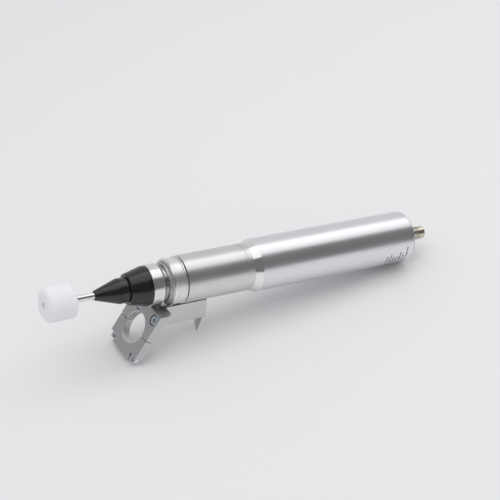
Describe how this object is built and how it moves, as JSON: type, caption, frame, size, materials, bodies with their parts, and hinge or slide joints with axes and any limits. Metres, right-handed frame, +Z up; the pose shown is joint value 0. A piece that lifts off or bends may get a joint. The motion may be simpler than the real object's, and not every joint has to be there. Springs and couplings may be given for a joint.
{
  "type": "lens cleaning pen",
  "caption": "Motor-driven lens cleaning pen: soft rounded tip on a spindle, black stepped nose, satin cylindrical housing, rear round connector and a tilted split clamp under the nose.",
  "frame": {"origin": "centre of the bounding box in plan, on the surface the pen rests on", "axes": "+X runs from the soft tip towards the rear connector and +Z is up; the pen lies in the XZ plane with its rear end lower by 8.62 degrees"},
  "size_m": [0.2578, 0.033, 0.0618],
  "materials": {
    "soft_white": "translucent soft silicone",
    "hub_plastic": "natural acetal",
    "zinc_screw": "bright zinc plated",
    "bright_steel": "ground and polished stainless steel",
    "black_acetal": "turned black acetal, satin gloss",
    "seal_rubber": "nitrile rubber",
    "turned_aluminium": "bright turned",
    "bearing_steel": "ground bearing steel",
    "cage_brass": "machined brass",
    "spring_steel": "spring steel",
    "ring_aluminium": "blasted with bright beads",
    "warm_aluminium": "satin, warm nickel tone",
    "cool_aluminium": "satin anodised",
    "cap_aluminium": "satin anodised",
    "coupling_aluminium": "turned",
    "spider_rubber": "polyurethane",
    "gear_steel": "machined steel",
    "pinion_brass": "cut brass",
    "lamination": "stacked laminations",
    "copper_wire": "enamelled copper wire",
    "motor_steel": "zinc plated deep drawn steel",
    "magnet": "sintered magnet",
    "black_plastic": "moulded",
    "brush_graphite": "carbon brush and tinned lead",
    "board_green": "solder mask",
    "component_black": "moulded package",
    "capacitor_can": "sleeved can",
    "wire_red": "insulated wire",
    "nickel_brass": "nickel plated brass",
    "gold_pin": "gold plated",
    "plate_aluminium": "milled and blasted",
    "bar_aluminium": "milled and blasted",
    "polished_steel": "polished"
  },
  "bodies": {
    "housing": {"nose_tip": "black_acetal", "shaft_seal": "seal_rubber", "nose_cone": "black_acetal", "nose_body": "turned_aluminium", "bearing_outer_rings": "bearing_steel", "bearing_spacer": "coupling_aluminium", "preload_spring": "spring_steel", "retaining_ring": "spring_steel", "bayonet_stop_pin": "bright_steel", "front_housing": "warm_aluminium", "gearhead_flange": "gear_steel", "gearhead_ring_gear": "gear_steel", "gearhead_screws": "zinc_screw", "motor_can": "motor_steel", "motor_magnets": "magnet", "motor_end_bell": "black_plastic", "motor_brushes": "brush_graphite", "main_housing": "cool_aluminium", "board_chassis": "black_plastic", "driver_board": "board_green", "board_components": "component_black", "capacitor": "capacitor_can", "lead_wires": "wire_red", "end_cap": "cap_aluminium", "end_cap_o_ring": "seal_rubber", "connector_body": "nickel_brass", "connector_seal": "seal_rubber", "connector_nut": "nickel_brass", "connector_insert": "black_plastic", "connector_pins": "gold_pin", "clamp_upper": "plate_aluminium", "clamp_cap": "plate_aluminium", "clamp_screws": "zinc_screw", "plate_screws": "zinc_screw", "bracket_bar": "bar_aluminium", "bar_screws": "zinc_screw", "cone_foot": "polished_steel"},
    "spindle_unit": {"cleaning_tip": "soft_white", "tip_core": "hub_plastic", "tip_screw": "zinc_screw", "spindle": "bright_steel", "bearing_inner_rings": "bearing_steel", "coupling_front_hub": "coupling_aluminium", "coupling_spider": "spider_rubber", "coupling_rear_hub": "coupling_aluminium", "planet_carrier": "gear_steel", "planet_pins": "bearing_steel"},
    "motor_rotor": {"sun_pinion": "pinion_brass", "motor_shaft": "bright_steel", "rotor_core": "lamination", "rotor_windings": "copper_wire"},
    "planet_a": {"planet_gear_a": "pinion_brass"},
    "planet_b": {"planet_gear_b": "pinion_brass"},
    "planet_c": {"planet_gear_c": "pinion_brass"},
    "ball_cages": {"bearing_balls": "polished_steel", "bearing_cages": "cage_brass"},
    "bayonet_ring": {"lock_ring": "ring_aluminium"}
  },
  "joints": [
    {"name": "tip_spin", "type": "hinge", "parent": "housing", "child": "spindle_unit", "pos_m": [-0.12777, 0, 0.05203], "axis": [0.9887, 0, -0.1498], "continuous": true},
    {"name": "rotor_spin", "type": "hinge", "parent": "housing", "child": "motor_rotor", "pos_m": [-0.0111, 0, 0.03435], "axis": [0.9887, 0, -0.1498], "continuous": true},
    {"name": "cage_spin", "type": "hinge", "parent": "housing", "child": "ball_cages", "pos_m": [-0.06518, 0, 0.04255], "axis": [0.9887, 0, -0.1498], "continuous": true},
    {"name": "ring_turn", "type": "hinge", "parent": "housing", "child": "bayonet_ring", "pos_m": [-0.055, 0, 0.041], "axis": [0.9887, 0, -0.1498], "range_deg": [0, 60]},
    {"name": "planet_a_spin", "type": "hinge", "parent": "spindle_unit", "child": "planet_a", "pos_m": [-0.01782, 0.006, 0.03537], "axis": [0.9887, 0, -0.1498], "continuous": true},
    {"name": "planet_b_spin", "type": "hinge", "parent": "spindle_unit", "child": "planet_b", "pos_m": [-0.01704, -0.003, 0.04051], "axis": [0.9887, 0, -0.1498], "continuous": true},
    {"name": "planet_c_spin", "type": "hinge", "parent": "spindle_unit", "child": "planet_c", "pos_m": [-0.0186, -0.003, 0.03023], "axis": [0.9887, 0, -0.1498], "continuous": true}
  ],
  "couplings": [
    {"joint": "rotor_spin", "follows": "tip_spin", "ratio": 5},
    {"joint": "cage_spin", "follows": "tip_spin", "ratio": 0.39684},
    {"joint": "planet_a_spin", "follows": "tip_spin", "ratio": -2.6667},
    {"joint": "planet_b_spin", "follows": "tip_spin", "ratio": -2.6667},
    {"joint": "planet_c_spin", "follows": "tip_spin", "ratio": -2.6667}
  ]
}
